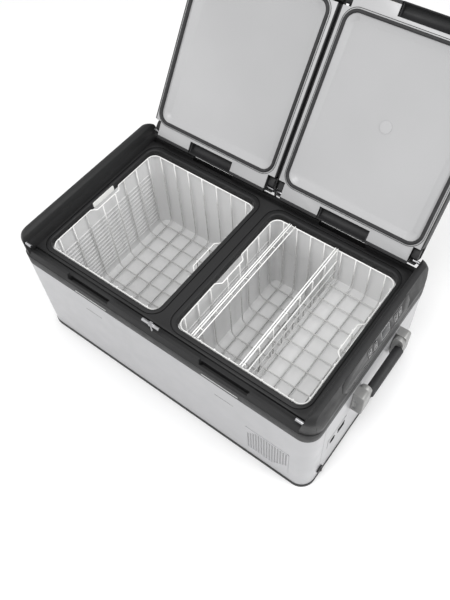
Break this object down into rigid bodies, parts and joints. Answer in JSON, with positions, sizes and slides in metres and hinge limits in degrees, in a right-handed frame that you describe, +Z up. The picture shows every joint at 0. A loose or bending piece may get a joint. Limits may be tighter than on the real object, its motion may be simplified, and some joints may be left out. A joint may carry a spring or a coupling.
{
  "type": "compressor cooler fridge",
  "caption": "Portable compressor cooler with two lidded compartments, lift-out wire baskets, latching reversible lids, end control panel and swinging carry handles.",
  "frame": {"origin": "centre of the flat underside of the base pan", "axes": "+Z up, +X along the length towards the control panel end, -Y towards the front where the lids open"},
  "size_m": [0.983, 0.8406, 0.8107],
  "materials": {
    "black_plastic": "fine-grain charcoal-black moulding",
    "charcoal_plastic": "fine-grain charcoal moulding",
    "silver_sheet": "smooth light silver-grey paint",
    "foam": "rigid polyurethane foam",
    "aluminium_plate": "mill finish",
    "white_liner": "smooth satin white",
    "grey_liner": "smooth satin light grey",
    "gloss_black": "polished black",
    "display_glass": "tinted window",
    "bright_steel": "bright",
    "satin_metal": "satin",
    "lamp_lens": "frosted white",
    "black_rubber": "soft black",
    "white_wire": "white plastic-coated wire",
    "satin_aluminium": "satin blasted",
    "black_paint": "semi-gloss black",
    "copper_pipe": "copper",
    "circuit_board": "green board with parts"
  },
  "bodies": {
    "cabinet": {"base_pan": "black_plastic", "body_shell": "silver_sheet", "bracket_screws": "bright_steel", "centre_posts": "bright_steel", "compressor": "black_paint", "compressor_mounts": "black_rubber", "condenser": "black_paint", "control_board": "circuit_board", "control_panel": "gloss_black", "display_window": "display_glass", "end_pins": "bright_steel", "evaporator_plates": "aluminium_plate", "fan_shroud": "black_plastic", "front_vent_grille": "silver_sheet", "handle_brackets": "satin_aluminium", "handle_pivots": "bright_steel", "inlet_plate": "silver_sheet", "insulation_foam": "foam", "lamp_lenses": "lamp_lens", "left_bolster": "black_plastic", "left_liner": "white_liner", "power_inlets": "black_plastic", "rear_vent_grille": "silver_sheet", "refrigerant_lines": "copper_pipe", "right_bolster": "black_plastic", "right_liner": "white_liner", "top_rim": "black_plastic", "trim_strips": "satin_metal"},
    "left_lid": {"left_lid_shell": "charcoal_plastic", "left_lid_panel": "grey_liner", "left_lid_foam": "foam", "left_lid_gasket": "black_rubber"},
    "right_lid": {"right_lid_shell": "charcoal_plastic", "right_lid_panel": "grey_liner", "right_lid_foam": "foam", "right_lid_gasket": "black_rubber", "right_lid_plug": "grey_liner"},
    "left_basket": {"left_basket": "white_wire"},
    "right_basket": {"right_basket": "white_wire"},
    "basket_divider": {"basket_divider": "white_wire"},
    "bottle_rail": {"bottle_rail": "white_wire"},
    "right_handle": {"right_handle_arms": "satin_aluminium", "right_handle_grip": "black_rubber"},
    "left_handle": {"left_handle_arms": "satin_aluminium", "left_handle_grip": "black_rubber"},
    "drain_plug": {"drain_plug": "black_rubber"},
    "cooling_fan": {"cooling_fan": "black_plastic"},
    "button_1": {"panel_button_1": "gloss_black"},
    "button_2": {"panel_button_2": "gloss_black"},
    "button_3": {"panel_button_3": "gloss_black"},
    "button_4": {"panel_button_4": "gloss_black"},
    "left_back_latch": {"left_back_latch_bar": "charcoal_plastic", "left_back_latch_handle": "charcoal_plastic"},
    "left_front_latch": {"left_front_latch_bar": "charcoal_plastic", "left_front_latch_handle": "charcoal_plastic"},
    "right_back_latch": {"right_back_latch_bar": "charcoal_plastic", "right_back_latch_handle": "charcoal_plastic"},
    "right_front_latch": {"right_front_latch_bar": "charcoal_plastic", "right_front_latch_handle": "charcoal_plastic"}
  },
  "joints": [
    {"name": "left_lid_hinge", "type": "hinge", "parent": "cabinet", "child": "left_lid", "pos_m": [-0.21, 0.255, 0.3725], "axis": [1, 0, 0], "range_deg": [0, 125]},
    {"name": "left_back_latch_turn", "type": "hinge", "parent": "left_lid", "child": "left_back_latch", "pos_m": [-0.211, 0.26934, 0.39298], "axis": [1, 0, 0], "range_deg": [0, 20], "stiffness_Nm_per_rad": 0.6, "springref_deg": -34.38},
    {"name": "left_front_latch_turn", "type": "hinge", "parent": "left_lid", "child": "left_front_latch", "pos_m": [-0.211, 0.53319, 0.76979], "axis": [-1, 0, 0], "range_deg": [0, 20], "stiffness_Nm_per_rad": 0.6, "springref_deg": -34.38},
    {"name": "right_lid_hinge", "type": "hinge", "parent": "cabinet", "child": "right_lid", "pos_m": [0.21, 0.255, 0.3725], "axis": [1, 0, 0], "range_deg": [0, 125]},
    {"name": "right_back_latch_turn", "type": "hinge", "parent": "right_lid", "child": "right_back_latch", "pos_m": [0.211, 0.26934, 0.39298], "axis": [1, 0, 0], "range_deg": [0, 20], "stiffness_Nm_per_rad": 0.6, "springref_deg": -34.38},
    {"name": "right_front_latch_turn", "type": "hinge", "parent": "right_lid", "child": "right_front_latch", "pos_m": [0.211, 0.53319, 0.76979], "axis": [-1, 0, 0], "range_deg": [0, 20], "stiffness_Nm_per_rad": 0.6, "springref_deg": -34.38},
    {"name": "left_basket_lift", "type": "slide", "parent": "cabinet", "child": "left_basket", "axis": [0, 0, 1], "range_m": [0, 0.36]},
    {"name": "right_basket_lift", "type": "slide", "parent": "cabinet", "child": "right_basket", "axis": [0, 0, 1], "range_m": [0, 0.36]},
    {"name": "divider_lift", "type": "slide", "parent": "right_basket", "child": "basket_divider", "axis": [0, 0, 1], "range_m": [0, 0.15]},
    {"name": "bottle_rail_lift", "type": "slide", "parent": "right_basket", "child": "bottle_rail", "axis": [0, 0, 1], "range_m": [0, 0.15]},
    {"name": "right_handle_swing", "type": "hinge", "parent": "cabinet", "child": "right_handle", "pos_m": [0.4713, 0.023, 0.261], "axis": [0, -1, 0], "range_deg": [0, 95]},
    {"name": "left_handle_swing", "type": "hinge", "parent": "cabinet", "child": "left_handle", "pos_m": [-0.4713, 0.023, 0.261], "axis": [0, 1, 0], "range_deg": [0, 95]},
    {"name": "drain_plug_pull", "type": "slide", "parent": "cabinet", "child": "drain_plug", "axis": [1, 0, 0], "range_m": [0, 0.03]},
    {"name": "fan_spin", "type": "hinge", "parent": "cabinet", "child": "cooling_fan", "pos_m": [0.338, -0.205, 0.096], "axis": [0, 1, 0], "continuous": true},
    {"name": "button_1_press", "type": "slide", "parent": "cabinet", "child": "button_1", "axis": [-0.9691, 0, -0.2468], "range_m": [0, 0.0008], "stiffness_N_per_m": 900, "springref_m": -0.001},
    {"name": "button_2_press", "type": "slide", "parent": "cabinet", "child": "button_2", "axis": [-0.9691, 0, -0.2468], "range_m": [0, 0.0008], "stiffness_N_per_m": 900, "springref_m": -0.001},
    {"name": "button_3_press", "type": "slide", "parent": "cabinet", "child": "button_3", "axis": [-0.9691, 0, -0.2468], "range_m": [0, 0.0008], "stiffness_N_per_m": 900, "springref_m": -0.001},
    {"name": "button_4_press", "type": "slide", "parent": "cabinet", "child": "button_4", "axis": [-0.9691, 0, -0.2468], "range_m": [0, 0.0008], "stiffness_N_per_m": 900, "springref_m": -0.001}
  ]
}
